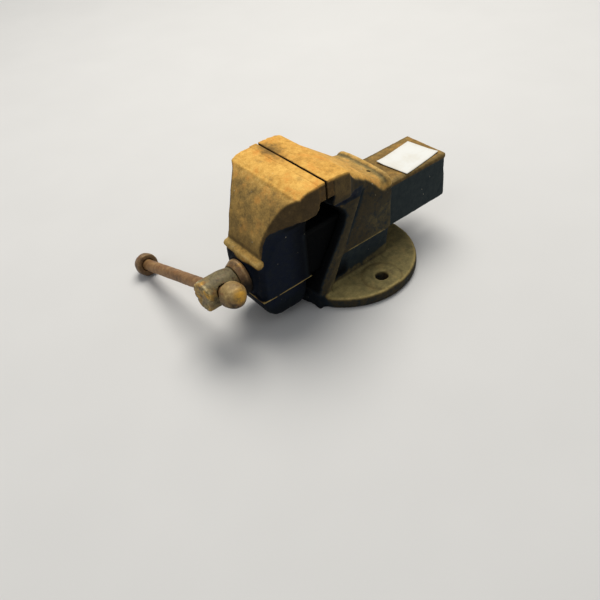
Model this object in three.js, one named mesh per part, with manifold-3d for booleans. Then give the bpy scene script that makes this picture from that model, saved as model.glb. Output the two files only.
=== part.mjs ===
// A small cast-iron bench vise with jaws two inches wide.
// Millimetres. The origin is on the bench, under the middle of the round base.
// +Z is up, +Y points to the rear, and the screw and its handle are at -Y.

import * as THREE from 'three';
import { mergeVertices } from 'three/addons/utils/BufferGeometryUtils.js';
import Module from 'manifold-3d';

const wasm = await Module();
wasm.setup();

// ---------------------------------------------------------------- driving dimensions

const INCH = 25.4;
const GAP = 0.3; // air between pieces that touch
const ROUND = 40; // sides of a round piece

const JAW = {
  width: 2 * INCH,
  slitY: -30.2, // where the jaws meet
  slit: 1.0, // how far apart the worn jaws stand when they are closed
  top: 76.4,
  cheekBottom: 62,
  plateThick: 3.5,
  plateHeight: 9.2,
};

const BASE = { radius: 38, thick: INCH / 4 };
const BOLT_HOLE = { x: 27.8, radius: 3.5, padRadius: 9.8, padTop: BASE.thick + 0.6 };

const SCREW = {
  z: 29.8, // height of the axis
  threadRadius: INCH / 4,
  journalRadius: 6.4,
  neckRadius: 7,
  headRadius: 7.75,
  headFront: -88.7,
  headBack: -70.8,
  rear: 52,
  pinY: -48,
};
const COLLAR = { radius: 9.1, noseRadius: 7.6, nose: 2.6 }; // the cone on its front is the nose
const SPRING = { meanRadius: 8.1, wireRadius: 0.8, turns: 3, front: -58.9, back: -52.8 };
const SPRING_WASHER = { radius: 9.2, front: -51.7, thick: 1.2 };
const PIN = { radius: 1.2, reach: 8.6, eyeRadius: 1.3, eyeWire: 0.7 };

const BAR = {
  y: -80.2,
  radius: INCH / 8,
  holeRadius: 4,
  tilt: THREE.MathUtils.degToRad(17.9), // the left end hangs low
  lean: THREE.MathUtils.degToRad(3.3), // the play of the hole lets the left end swing forward
  left: -72.6, // inner face of the left knob, along the bar from the screw's axis
  right: 11.2, // inner face of the right knob
  knobRadius: 6.2,
  knobLength: 10,
};

const SLIDE = {
  halfWidth: INCH * 9 / 16,
  bandDepth: 2.4, // the top plate overhangs the sides as a band
  bandProud: 0.9,
  top: 46.8,
  bottom: 20.9,
  rear: 61.2,
};

const CHANNEL = { halfWidth: 10, top: 42.3, front: -60 };

const FRONT = { halfWidth: 15.4, wall: -64.2, rear: -36.4, ledge: 20.5, bottom: 3.6 };
const LEDGE = { halfWidth: 16, front: -65.8, thick: 0.9 };
const LIP = { y: -63.1, z: 41.8, halfLength: 12.4, radius: 2.1 };
const BOSS = { radius: 10.7, front: -65.5, bevel: 0.8 }; // round the screw, under the lip

const HOUSING = {
  front: -35.6,
  rear: 16.3,
  ribHalfWidth: 19.5,
  tunnelHalfWidth: SLIDE.halfWidth + 0.5,
  tunnelBottom: SLIDE.bottom - 0.5,
  tunnelTop: SLIDE.top + 1.4,
  hollowHalfWidth: 9.5,
  hollowTop: 15,
  hollows: [[-27.5, -4], [4, 12]], // along Y, with a web between them under the origin
};

const ROOF = { frontY: -16.1, frontZ: 75.3, rearY: 12.5, rearZ: 54, halfWidth: 20.2, shoulder: 6 };
const RIM = { beadRadius: 1.6, thick: 2.2 };
const OIL_HOLE = { x: 8.7, y: 10.2, radius: 0.9 };

const NUT = { halfWidth: 9.6, front: -26, rear: -8, top: 39.6, lugRadius: 6 };
const NUT_WASHER = { radius: 8.4, thick: 1.4, top: HOUSING.hollowTop - GAP };
const NUT_BOLT = { radius: 3, headAcross: 10, headHeight: 4, top: 21.4 };
const PLATE_SCREW = { x: 14, headRadius: 3.5, shankRadius: 1.9, length: 10 };
const LABEL = { wide: 20.5, long: 26.5, thick: 0.25, x: 2.2, y: 45.4, turnDegrees: 7 };

// What follows from them: where the jaw plates and the castings behind them have their faces.
const plateFaceY = { front: JAW.slitY - JAW.slit / 2, rear: JAW.slitY + JAW.slit / 2 };
const seatY = {
  front: plateFaceY.front - JAW.plateThick - GAP,
  rear: plateFaceY.rear + JAW.plateThick + GAP,
};
const plateBottom = JAW.top - JAW.plateHeight;
const nutY = (NUT.front + NUT.rear) / 2;

// ---------------------------------------------------------------- helpers

// A geometry as a manifold solid.
function solid(geometry) {
  const bare = geometry.index ? geometry.toNonIndexed() : geometry.clone();
  bare.deleteAttribute('normal');
  bare.deleteAttribute('uv');
  const merged = mergeVertices(bare, 1e-4);
  return new wasm.Manifold(new wasm.Mesh({
    numProp: 3,
    vertProperties: new Float32Array(merged.attributes.position.array),
    triVerts: new Uint32Array(merged.index.array),
  }));
}

function join(first, ...others) {
  return others.reduce((sum, other) => sum.add(other), first);
}

function cut(first, ...others) {
  return others.reduce((sum, other) => sum.subtract(other), first);
}

// A manifold solid as a geometry with flat shading.
function geometryOf(manifold) {
  const mesh = manifold.getMesh();
  const geometry = new THREE.BufferGeometry();
  geometry.setAttribute('position', new THREE.Float32BufferAttribute(mesh.vertProperties, 3));
  geometry.setIndex(new THREE.Uint32BufferAttribute(mesh.triVerts, 1));
  const flat = geometry.toNonIndexed();
  flat.computeVertexNormals();
  return flat;
}

// A box given by its ranges.
function box([x0, x1], [y0, y1], [z0, z1]) {
  const geometry = new THREE.BoxGeometry(x1 - x0, y1 - y0, z1 - z0);
  return solid(geometry.translate((x0 + x1) / 2, (y0 + y1) / 2, (z0 + z1) / 2));
}

// An upright cylinder.
function post(radius, [z0, z1], x = 0, y = 0, sides = ROUND) {
  const geometry = new THREE.CylinderGeometry(radius, radius, z1 - z0, sides);
  return solid(geometry.rotateX(Math.PI / 2).translate(x, y, (z0 + z1) / 2));
}

// A round body along Y, from [radius, y] pairs that start and end on the axis.
function turned(profile, z = 0, x = 0, sides = ROUND) {
  const points = profile.map(([radius, y]) => new THREE.Vector2(radius, y));
  return solid(new THREE.LatheGeometry(points, sides).translate(x, 0, z));
}

function rod(radius, [y0, y1], z = 0, x = 0) {
  return turned([[0, y0], [radius, y0], [radius, y1], [0, y1]], z, x);
}

function shapeOf(points) {
  return new THREE.Shape(points.map(([u, v]) => new THREE.Vector2(u, v)));
}

function extruded(points, depth) {
  return new THREE.ExtrudeGeometry(shapeOf(points), { depth, bevelEnabled: false });
}

// An outline of [y, z] points, run across the vise from -halfWidth to +halfWidth.
function acrossX(points, halfWidth) {
  const geometry = extruded(points, 2 * halfWidth);
  geometry.applyMatrix4(new THREE.Matrix4().makeBasis(
    new THREE.Vector3(0, 1, 0),
    new THREE.Vector3(0, 0, 1),
    new THREE.Vector3(1, 0, 0),
  ));
  return solid(geometry.translate(-halfWidth, 0, 0));
}

// An outline of [x, z] points, run along the vise from y0 to y1.
function alongY(points, [y0, y1]) {
  return solid(extruded(points, y1 - y0).rotateX(Math.PI / 2).translate(0, y1, 0));
}

// An outline of [x, y] points, run up from z0 to z1.
function upZ(points, [z0, z1]) {
  return solid(extruded(points, z1 - z0).translate(0, 0, z0));
}

// A right-hand half outline, mirrored into a whole one.
function mirrored(half) {
  const left = half.map(([x, v]) => [-x, v]).reverse();
  return [...half, ...left];
}

// A smooth curve through [height, value] keys, as a function of the height.
function through(...keys) {
  const slope = (i, j) => (keys[j][1] - keys[i][1]) / (keys[j][0] - keys[i][0]);
  const tangents = keys.map((key, i) => {
    if (i === 0) return slope(0, 1);
    if (i === keys.length - 1) return slope(i - 1, i);
    const before = slope(i - 1, i);
    const after = slope(i, i + 1);
    return before * after <= 0 ? 0 : 2 * before * after / (before + after);
  });
  return (height) => {
    const last = keys.length - 2;
    const i = Math.max(0, Math.min(last, keys.findIndex((key) => key[0] > height) - 1));
    const k = height >= keys[last][0] ? last : i;
    const span = keys[k + 1][0] - keys[k][0];
    const t = THREE.MathUtils.clamp((height - keys[k][0]) / span, 0, 1);
    const rise = t * t * (3 - 2 * t);
    const ease = t * (1 - t) * (1 - t) * tangents[k] + t * t * (t - 1) * tangents[k + 1];
    return keys[k][1] * (1 - rise) + keys[k + 1][1] * rise + ease * span;
  };
}

// A closed body through level sections. Each section is a loop of [x, y] points,
// anticlockwise from above, and every loop has as many points as the first.
function loft(heights, sectionAt) {
  const loops = heights.map((z) => sectionAt(z).map(([x, y]) => [x, y, z]));
  const count = loops[0].length;
  const cap = THREE.ShapeUtils.triangulateShape(loops[0].map(([x, y]) => new THREE.Vector2(x, y)), []);
  const triangles = [];
  for (let level = 0; level + 1 < loops.length; level += 1) {
    for (let i = 0; i < count; i += 1) {
      const j = (i + 1) % count;
      const [a, b] = [loops[level][i], loops[level][j]];
      const [c, d] = [loops[level + 1][j], loops[level + 1][i]];
      triangles.push(a, b, c, a, c, d);
    }
  }
  const top = loops[loops.length - 1];
  for (const [i, j, k] of cap) {
    triangles.push(loops[0][k], loops[0][j], loops[0][i]);
    triangles.push(top[i], top[j], top[k]);
  }
  const geometry = new THREE.BufferGeometry();
  geometry.setAttribute('position', new THREE.Float32BufferAttribute(triangles.flat(), 3));
  return solid(geometry);
}

// Evenly spaced numbers from one value to another, both included.
function steps(from, to, count) {
  return Array.from({ length: count + 1 }, (_, i) => from + (to - from) * i / count);
}

// Points on a circular arc in a plane, angles in degrees.
function arc([u, v], radius, fromDegrees, toDegrees, count) {
  return steps(fromDegrees, toDegrees, count).map((degrees) => {
    const angle = THREE.MathUtils.degToRad(degrees);
    return [u + radius * Math.cos(angle), v + radius * Math.sin(angle)];
  });
}

// A bar of round section along a curve.
function bent(curve, radius, stepCount, sides = 10) {
  const section = shapeOf(arc([0, 0], radius, 0, 360, sides).slice(0, -1));
  const settings = { steps: stepCount, extrudePath: curve, bevelEnabled: false };
  return solid(new THREE.ExtrudeGeometry(section, settings));
}

function metal(color, roughness, metalness) {
  return new THREE.MeshStandardMaterial({ color, roughness, metalness });
}

function piece(name, shape, material) {
  const mesh = new THREE.Mesh(shape.isBufferGeometry ? shape : geometryOf(shape), material);
  mesh.name = name;
  return mesh;
}

const OCHRE_RUST = metal('#8c6e3c', 0.8, 0.3);
const DARK_CASTING = metal('#3a352c', 0.7, 0.3);
const WORN_STEEL = metal('#7d5a34', 0.65, 0.6);
const BARE_STEEL = metal('#8a8880', 0.45, 0.9);
const PAPER = metal('#f2f0e8', 0.9, 0);

// ---------------------------------------------------------------- fixed body

// Cut-outs for the two screws that hold a jaw plate. They run from the plate into the casting.
function plateScrewHoles(from, direction, radius) {
  const reach = direction * (PLATE_SCREW.length - JAW.plateThick + 1);
  const range = [Math.min(from, from + reach), Math.max(from, from + reach)];
  return [-1, 1].map((side) => rod(radius, range, plateBottom + JAW.plateHeight / 2, side * PLATE_SCREW.x));
}

// The wall round the slide, from the bench up to the jaw, with a rib down each front edge
// and a side panel behind it that tucks in towards the base.
function housingShell() {
  const frontY = through(
    [0, HOUSING.front], [13, -34.5], [20, -30.8], [35.4, -21.4], [44, -16.6], [48, -15.3],
    [54.3, -19], [61, seatY.rear - 0.6], [plateBottom - 1, seatY.rear], [JAW.top, seatY.rear],
  );
  const ribBackY = (z) => -22.7 + 0.47 * (z - 16.9);
  const lowerHalfWidth = through([0, 16.8], [BASE.thick, 16.6], [8.6, 15.4], [16, 16.2], [24.6, 17.5]);
  const upperHalfWidth = through([25.4, 18.8], [38, 19], [50, 19.9], [JAW.top, 19.9]);
  const section = (z) => {
    const rear = z < 25 ? lowerHalfWidth(z) : upperHalfWidth(z);
    const rib = HOUSING.ribHalfWidth;
    const front = frontY(z);
    const back = Math.max(ribBackY(z), front + 4);
    return mirrored([
      [rib - 1.6, front],
      [rib - 0.4, front + 0.4],
      [rib, front + 1.6],
      [rib, back],
      [Math.min(rear, rib - 0.9), back + 1.6],
      [rear, back + 12],
      [rear, HOUSING.rear - 1.4],
      [rear - 1, HOUSING.rear],
    ]);
  };
  return loft([...steps(0, 24.6, 12), ...steps(25.4, JAW.top - 2, 17)], section);
}

// What the housing keeps when its roof is shaped: a crowned roof that falls from the jaw
// to the rear edge. The solid under it reaches well past the housing on every side.
function roofEnvelope() {
  const { frontY, frontZ, rearY, rearZ, halfWidth, shoulder } = ROOF;
  const fall = Math.atan2(frontZ - rearZ, rearY - frontY);
  const arch = mirrored([
    [halfWidth, -95],
    ...arc([halfWidth - shoulder, -shoulder - 0.8], shoulder, 0, 80, 6),
    [6, -0.2],
  ]);
  const prism = extruded(arch, 140).rotateX(Math.PI / 2).translate(0, 110, 0);
  return solid(prism.rotateX(-fall).translate(0, frontY, frontZ));
}

// The upstanding rim along the rear edge of the roof, with a bead along its top.
function roofRim() {
  const half = [[18.7, 49], [18.2, 52], [16.6, 54.2], [12, 55.1], [4, 55.5]];
  const y = HOUSING.rear - RIM.beadRadius;
  const path = mirrored(half).map(([x, z]) => new THREE.Vector3(x, y, z));
  const bead = bent(new THREE.CatmullRomCurve3(path), RIM.beadRadius, 28);
  const wall = alongY(mirrored([[18.7, 47], ...half]), [HOUSING.rear - RIM.thick, HOUSING.rear]);
  return join(bead, wall);
}

// The fixed jaw: a block as wide as the jaw, with a cove under each cheek. Behind its back
// edge it narrows and falls away, and runs out into the sides of the housing.
function fixedJaw() {
  const back = -16.1;
  const tail = -6.5;
  const halfJaw = JAW.width / 2;
  const sideView = acrossX([
    [seatY.rear, JAW.top - 0.1],
    [-23.8, JAW.top + 0.1],
    [-19.2, 75.9],
    [back, 75.1],
    [back + 0.5, 73.6],
    [tail, 63],
    [tail, 52],
    [back, 52],
    [-19.5, 54.6],
    [-26.9, JAW.cheekBottom],
    [-27.4, plateBottom - 3],
    [seatY.rear, plateBottom - 0.4],
  ].reverse(), halfJaw);
  const frontView = alongY(mirrored([
    [19, 50],
    ...arc([halfJaw, 54.2], halfJaw - 19, 180, 110, 6),
    [halfJaw, JAW.cheekBottom],
    [halfJaw, JAW.top + 1],
  ]), [-35, 0]);
  const planView = upZ(mirrored([
    [halfJaw, -35],
    [halfJaw, back],
    [23, -14.2],
    [21.3, -12],
    [20.2, -9.4],
    [19.7, tail + 1],
  ]), [45, JAW.top + 5]);
  return sideView.intersect(frontView).intersect(planView);
}

function flange() {
  const disc = turned([
    [0, 0], [BASE.radius - 0.6, 0], [BASE.radius, 0.8], [BASE.radius, BASE.thick - 1.4],
    [BASE.radius - 0.4, BASE.thick - 0.4], [BASE.radius - 1.4, BASE.thick], [0, BASE.thick],
  ], 0, 0, 72).rotate([90, 0, 0]);
  const pads = [-1, 1].map((side) => post(
    BOLT_HOLE.padRadius,
    [1, BOLT_HOLE.padTop],
    side * BOLT_HOLE.x,
  ));
  return join(disc, ...pads);
}

function fixedBody() {
  const shell = housingShell().intersect(roofEnvelope());
  const casting = join(flange(), shell, fixedJaw(), roofRim());
  const tunnel = box(
    [-HOUSING.tunnelHalfWidth, HOUSING.tunnelHalfWidth],
    [-50, 30],
    [HOUSING.tunnelBottom, HOUSING.tunnelTop],
  );
  const hollows = HOUSING.hollows.map((range) => box(
    [-HOUSING.hollowHalfWidth, HOUSING.hollowHalfWidth],
    range,
    [-1, HOUSING.hollowTop],
  ));
  const lugHole = post(NUT.lugRadius + GAP, [10, 25], 0, nutY);
  const boltHoles = [-1, 1].map((side) => post(BOLT_HOLE.radius, [-1, 10], side * BOLT_HOLE.x));
  const oilHole = post(OIL_HOLE.radius, [HOUSING.tunnelTop - 1, 70], OIL_HOLE.x, OIL_HOLE.y, 16);
  const screwHoles = plateScrewHoles(seatY.rear, 1, PLATE_SCREW.shankRadius + GAP);
  return cut(casting, tunnel, ...hollows, lugHole, ...boltHoles, oilHole, ...screwHoles);
}

// ---------------------------------------------------------------- jaw plates and their screws

// A flat plate with two countersunk holes. It lies from its working face back to the casting.
function jawPlate(faceY, direction) {
  const backY = faceY + direction * JAW.plateThick;
  const range = [Math.min(faceY, backY), Math.max(faceY, backY)];
  const plate = box([-JAW.width / 2, JAW.width / 2], range, [plateBottom, JAW.top]);
  const sinks = [-1, 1].map((side) => plateScrew(faceY, direction, side, GAP));
  return cut(plate, ...sinks);
}

// A countersunk screw with its head just below the plate's face. With a clearance it is
// the hole that the screw sits in, open at the face.
function plateScrew(faceY, direction, side, clearance = 0) {
  const { headRadius, shankRadius, length } = PLATE_SCREW;
  const sunk = 0.8 + clearance;
  const profile = [
    [0, clearance ? -1 : GAP],
    [headRadius + clearance, clearance ? -1 : GAP],
    [headRadius + clearance, sunk],
    [shankRadius + clearance, sunk + headRadius - shankRadius],
    [shankRadius + clearance, length],
    [0, length],
  ].map(([radius, depth]) => [radius, faceY + direction * depth]);
  const ordered = direction > 0 ? profile : profile.reverse();
  return turned(ordered, plateBottom + JAW.plateHeight / 2, side * PLATE_SCREW.x, 24);
}

// ---------------------------------------------------------------- moving jaw

// The jaw head and the neck that sweeps down and forward from it.
function movingHead() {
  const halfJaw = JAW.width / 2;
  const faceY = through(
    [FRONT.ledge, FRONT.wall], [38, FRONT.wall], [43, -62.4], [49, -61.2],
    [55, -59.2], [61, -56.2], [67, -52.5], [71, -49], [73.8, -45.6],
  );
  const faceHalfWidth = through(
    [FRONT.ledge, 13], [49, 13.3], [55, 14.7], [61, 16.2], [67, 18.6], [71, 21.8], [73.8, 25.2],
  );
  const sideHalfWidth = through(
    [FRONT.ledge, FRONT.halfWidth], [47, FRONT.halfWidth + 0.4], [52, 16.4], [57, 18.2], [60, 21],
    [JAW.cheekBottom, halfJaw], [73.8, halfJaw],
  );
  const cornerY = through(
    [FRONT.ledge, -61.8], [36, -61.4], [43, -58.4], [49, -53.8], [55, -48], [JAW.cheekBottom, -45.2],
    [73.8, -45.4],
  );
  const section = (z) => {
    const [face, side] = [faceHalfWidth(z), sideHalfWidth(z)];
    return mirrored([
      [face, faceY(z)],
      [face + 0.45 * (side - face), faceY(z) + 0.62 * (cornerY(z) - faceY(z))],
      [side, cornerY(z)],
      [side, FRONT.rear],
    ]);
  };
  const heights = [...steps(FRONT.ledge, 60, 26), 61, JAW.cheekBottom, ...steps(64, 73.8, 7)];
  const neck = loft(heights, section);
  const head = acrossX([
    [seatY.front, JAW.top - 0.1],
    [seatY.front, plateBottom - 0.4],
    [seatY.front + 0.2, plateBottom - 0.6],
    [seatY.front, 64.1],
    [-36, 62.6],
    [-37.7, JAW.cheekBottom],
    [-45.2, JAW.cheekBottom],
    [-45.5, 73.6],
    [-44.4, 74.9],
    [-41.9, 75.8],
    [-36.3, 76.2],
  ].reverse(), halfJaw);
  return join(neck, head);
}

// The lower front of the casting: straight sides, a thin ledge and a rounded belly under it.
function movingBelly() {
  const { ledge, bottom } = FRONT;
  const ledgeRim = box(
    [-LEDGE.halfWidth, LEDGE.halfWidth],
    [LEDGE.front, FRONT.rear + 1],
    [ledge, ledge + LEDGE.thick],
  );
  const frontY = through([bottom, -54], [5, -57], [8, -60], [12, -62.4], [16, -64.2], [ledge, -64.9]);
  const halfWidth = through([bottom, 9.6], [5, 11.8], [8, 13.5], [13, 14.6], [ledge, 15]);
  const rearY = through([bottom, -41], [6, -38.8], [13, -37.6], [ledge, -37]);
  const corner = 3.5;
  const section = (z) => mirrored([
    [halfWidth(z) - corner, frontY(z)],
    [halfWidth(z) - 0.3 * corner, frontY(z) + 0.3 * corner],
    [halfWidth(z), frontY(z) + corner],
    [halfWidth(z), rearY(z) - corner],
    [halfWidth(z) - 0.3 * corner, rearY(z) - 0.3 * corner],
    [halfWidth(z) - corner, rearY(z)],
  ]);
  const belly = loft([bottom, 5.6, ...steps(6.6, ledge + 0.5, 10)], section);
  return join(belly, ledgeRim);
}

// The half-round lip above the screw boss.
function lip() {
  const ends = [-1, 1].map((side) => new THREE.Vector3(side * LIP.halfLength, LIP.y, LIP.z));
  const roll = bent(new THREE.LineCurve3(...ends), LIP.radius, 1, 16);
  const ball = new THREE.SphereGeometry(LIP.radius, 16, 10);
  const caps = ends.map((end) => solid(ball.clone().translate(...end)));
  return join(roll, ...caps);
}

// The channel-shaped slide that runs back through the housing, open below.
function slideBar() {
  const outline = mirrored([
    [SLIDE.halfWidth, SLIDE.bottom],
    [SLIDE.halfWidth - SLIDE.bandProud, SLIDE.top - SLIDE.bandDepth - 0.6],
    [SLIDE.halfWidth, SLIDE.top - SLIDE.bandDepth],
    [SLIDE.halfWidth, SLIDE.top - 0.5],
    [SLIDE.halfWidth - 0.5, SLIDE.top],
  ]);
  return alongY(outline, [-50, SLIDE.rear]);
}

function movingJaw() {
  const boss = turned([
    [0, BOSS.front],
    [BOSS.radius - BOSS.bevel, BOSS.front],
    [BOSS.radius, BOSS.front + BOSS.bevel],
    [BOSS.radius, CHANNEL.front],
    [0, CHANNEL.front],
  ], SCREW.z);
  const casting = join(movingHead(), movingBelly(), lip(), slideBar(), boss);
  const channel = box(
    [-CHANNEL.halfWidth, CHANNEL.halfWidth],
    [CHANNEL.front, SLIDE.rear + 1],
    [SLIDE.bottom - 0.8, CHANNEL.top],
  );
  const bore = rod(SCREW.journalRadius + GAP, [BOSS.front - 5, CHANNEL.front + 1], SCREW.z);
  const screwHoles = plateScrewHoles(seatY.front, -1, PLATE_SCREW.shankRadius + GAP);
  return cut(casting, channel, bore, ...screwHoles);
}

// A paper price label lying slightly turned on the slide.
function paperLabel() {
  const sheet = new THREE.BoxGeometry(LABEL.wide, LABEL.long, LABEL.thick);
  sheet.rotateZ(THREE.MathUtils.degToRad(LABEL.turnDegrees));
  return sheet.translate(LABEL.x, LABEL.y, SLIDE.top + GAP + LABEL.thick / 2);
}

// ---------------------------------------------------------------- nut and its bolt

function screwNut() {
  const block = box(
    [-NUT.halfWidth, NUT.halfWidth],
    [NUT.front, NUT.rear],
    [HOUSING.tunnelBottom + GAP, NUT.top],
  );
  const lug = post(NUT.lugRadius, [HOUSING.hollowTop + 1, HOUSING.tunnelBottom + 1], 0, nutY);
  const thread = rod(SCREW.threadRadius + GAP, [NUT.front - 1, NUT.rear + 1], SCREW.z);
  const tapping = post(NUT_BOLT.radius + GAP, [10, NUT_BOLT.top + GAP], 0, nutY, 24);
  return cut(join(block, lug), thread, tapping);
}

function nutBolt() {
  const { radius, headAcross, headHeight, top } = NUT_BOLT;
  const headTop = NUT_WASHER.top - NUT_WASHER.thick - GAP;
  const shank = post(radius, [headTop - 0.5, top], 0, nutY, 24);
  const head = post(headAcross / Math.sqrt(3), [headTop - headHeight, headTop], 0, nutY, 6);
  return join(shank, head);
}

function nutBoltWasher() {
  const { radius, thick, top } = NUT_WASHER;
  const disc = post(radius, [top - thick, top], 0, nutY);
  return cut(disc, post(NUT_BOLT.radius + GAP, [0, top + 1], 0, nutY, 24));
}

// ---------------------------------------------------------------- lead screw and what is on it

// Turns a shape that points along X to the angle that the bar hangs at.
function tilted(geometry) {
  return geometry.rotateZ(BAR.lean).rotateY(-BAR.tilt).translate(0, BAR.y, SCREW.z);
}

// A round shape along the bar, from [radius, distance] pairs.
function turnedAlongBar(profile, sides = ROUND) {
  const points = profile.map(([radius, along]) => new THREE.Vector2(radius, along));
  return solid(tilted(new THREE.LatheGeometry(points, sides).rotateZ(-Math.PI / 2)));
}

function leadScrew() {
  const { headRadius, neckRadius, journalRadius, threadRadius, headFront, headBack, pinY, rear } = SCREW;
  const body = turned([
    [0, headFront],
    [headRadius - 1.2, headFront],
    [headRadius - 0.5, headFront + 0.3],
    [headRadius, headFront + 1],
    [headRadius, headBack - 5.6],
    [headRadius - 0.2, headBack - 4],
    [neckRadius + 0.15, headBack - 1.5],
    [neckRadius, headBack],
    [journalRadius, headBack],
    [journalRadius, pinY + 3],
    [threadRadius, pinY + 4],
    [threadRadius, rear - 2],
    [threadRadius - 1.8, rear],
    [0, rear],
  ], SCREW.z);
  const barHole = turnedAlongBar([
    [0, -20], [BAR.holeRadius, -20], [BAR.holeRadius, 20], [0, 20],
  ]);
  const pinHole = post(PIN.radius + GAP, [SCREW.z - 12, SCREW.z + 12], 0, pinY, 20);
  return cut(body, barHole, pinHole);
}

// The collar between the screw's head and the boss, with a cone towards the head.
function thrustCollar() {
  const { radius, noseRadius, nose } = COLLAR;
  const [front, back] = [SCREW.headBack + GAP, BOSS.front - GAP];
  const inner = SCREW.journalRadius + GAP;
  return turned([
    [inner, front],
    [noseRadius, front],
    [radius - 0.3, front + nose],
    [radius, front + nose + 0.4],
    [radius, back],
    [inner, back],
    [inner, front],
  ], SCREW.z);
}

function springWasher() {
  const { radius, front, thick } = SPRING_WASHER;
  const disc = rod(radius, [front, front + thick], SCREW.z);
  return cut(disc, rod(SCREW.journalRadius + GAP, [front - 1, front + thick + 1], SCREW.z));
}

class Coil extends THREE.Curve {
  getPoint(t) {
    const angle = 2 * Math.PI * SPRING.turns * t;
    const y = THREE.MathUtils.lerp(SPRING.front, SPRING.back, t);
    const z = SCREW.z + SPRING.meanRadius * Math.sin(angle);
    return new THREE.Vector3(SPRING.meanRadius * Math.cos(angle), y, z);
  }
}

function splitPin() {
  const { radius, reach, eyeRadius, eyeWire } = PIN;
  const eyeZ = SCREW.z + reach - 1;
  const legs = post(radius, [SCREW.z - reach, eyeZ], 0, SCREW.pinY, 16);
  const eye = new THREE.TorusGeometry(eyeRadius, eyeWire, 10, 20).translate(0, SCREW.pinY, eyeZ);
  return join(legs, solid(eye));
}

// ---------------------------------------------------------------- tommy bar

// A knob that starts with a flat face against the bar and ends in a dome.
function knob(inner, direction) {
  const { knobRadius: radius, knobLength: length } = BAR;
  const dome = steps(0, 90, 7).map((degrees) => {
    const angle = THREE.MathUtils.degToRad(degrees);
    return [radius * Math.cos(angle), 3.2 + (length - 3.2) * Math.sin(angle)];
  });
  const profile = [[0, 0], [radius - 0.5, 0], [radius, 0.6], ...dome.slice(0, -1), [0, length]];
  const placed = profile.map(([r, along]) => [r, inner + direction * along]);
  const ordered = direction > 0 ? placed : placed.reverse();
  const socket = turnedAlongBar([
    [0, inner - 4], [BAR.radius + GAP, inner - 4], [BAR.radius + GAP, inner + 4], [0, inner + 4],
  ]);
  return cut(turnedAlongBar(ordered), socket);
}

function tommyBar() {
  const tenon = 3.6; // how far it reaches into each knob
  const [left, right] = [BAR.left - tenon, BAR.right + tenon];
  return turnedAlongBar([[0, left], [BAR.radius, left], [BAR.radius, right], [0, right]], 32);
}

// ---------------------------------------------------------------- assembly

const vise = new THREE.Group();

vise.add(piece('fixed_body', fixedBody(), DARK_CASTING));
vise.add(piece('rear_jaw_plate', jawPlate(plateFaceY.rear, 1), OCHRE_RUST));
vise.add(piece('front_jaw_plate', jawPlate(plateFaceY.front, -1), OCHRE_RUST));
for (const [sideName, side] of [['left', -1], ['right', 1]]) {
  const rear = plateScrew(plateFaceY.rear, 1, side);
  const front = plateScrew(plateFaceY.front, -1, side);
  vise.add(piece(`rear_plate_screw_${sideName}`, rear, BARE_STEEL));
  vise.add(piece(`front_plate_screw_${sideName}`, front, BARE_STEEL));
}

vise.add(piece('screw_nut', screwNut(), DARK_CASTING));
vise.add(piece('nut_bolt', nutBolt(), BARE_STEEL));
vise.add(piece('nut_bolt_washer', nutBoltWasher(), BARE_STEEL));

vise.add(piece('moving_jaw', movingJaw(), OCHRE_RUST));
vise.add(piece('paper_label', paperLabel(), PAPER));

vise.add(piece('lead_screw', leadScrew(), WORN_STEEL));
vise.add(piece('thrust_collar', thrustCollar(), WORN_STEEL));
vise.add(piece('screw_spring', bent(new Coil(), SPRING.wireRadius, 72, 8), BARE_STEEL));
vise.add(piece('spring_washer', springWasher(), BARE_STEEL));
vise.add(piece('split_pin', splitPin(), BARE_STEEL));

vise.add(piece('tommy_bar', tommyBar(), WORN_STEEL));
vise.add(piece('bar_knob_left', knob(BAR.left, -1), WORN_STEEL));
vise.add(piece('bar_knob_right', knob(BAR.right, 1), OCHRE_RUST));

export default vise;
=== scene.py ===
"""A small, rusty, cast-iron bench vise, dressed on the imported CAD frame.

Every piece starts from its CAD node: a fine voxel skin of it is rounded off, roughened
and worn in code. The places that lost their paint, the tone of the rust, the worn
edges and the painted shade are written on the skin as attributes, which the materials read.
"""

import math

import bmesh
import bpy
import numpy as np
from mathutils import Matrix, Vector, noise


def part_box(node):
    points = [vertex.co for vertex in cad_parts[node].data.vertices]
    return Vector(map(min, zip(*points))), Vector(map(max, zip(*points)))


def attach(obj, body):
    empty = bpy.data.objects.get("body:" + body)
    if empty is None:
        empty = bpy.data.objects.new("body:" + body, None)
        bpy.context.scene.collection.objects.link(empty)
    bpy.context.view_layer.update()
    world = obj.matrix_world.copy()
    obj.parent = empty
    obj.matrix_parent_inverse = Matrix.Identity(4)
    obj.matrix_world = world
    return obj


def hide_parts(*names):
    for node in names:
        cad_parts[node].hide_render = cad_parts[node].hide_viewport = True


MM = 0.001

LUMP_SIZE = 9.0  # the casting's unevenness, in mm
PIT_SIZE = 1.9
CHIP_SIZE = 3.2

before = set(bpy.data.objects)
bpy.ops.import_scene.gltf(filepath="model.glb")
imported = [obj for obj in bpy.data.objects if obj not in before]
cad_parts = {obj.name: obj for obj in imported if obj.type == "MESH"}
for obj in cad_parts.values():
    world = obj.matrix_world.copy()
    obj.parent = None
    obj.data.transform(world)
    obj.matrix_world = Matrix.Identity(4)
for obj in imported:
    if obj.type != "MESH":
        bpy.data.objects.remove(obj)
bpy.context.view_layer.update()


# ---------------------------------------------------------------- numbers


def ramp(low, high, values):
    """0 below low, 1 above high, and a smooth rise between them."""
    t = np.clip((values - low) / (high - low), 0, 1)
    return t * t * (3 - 2 * t)


def roughness_field(points, size, octaves, offset):
    """Fractal noise at each point (in mm), between about -1 and 1, with lumps of that size."""
    shift = Vector((offset, offset, offset))
    return np.array([noise.fractal(Vector(p) / size + shift, 1.0, 2.0, octaves) for p in points])


# ---------------------------------------------------------------- skins


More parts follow.
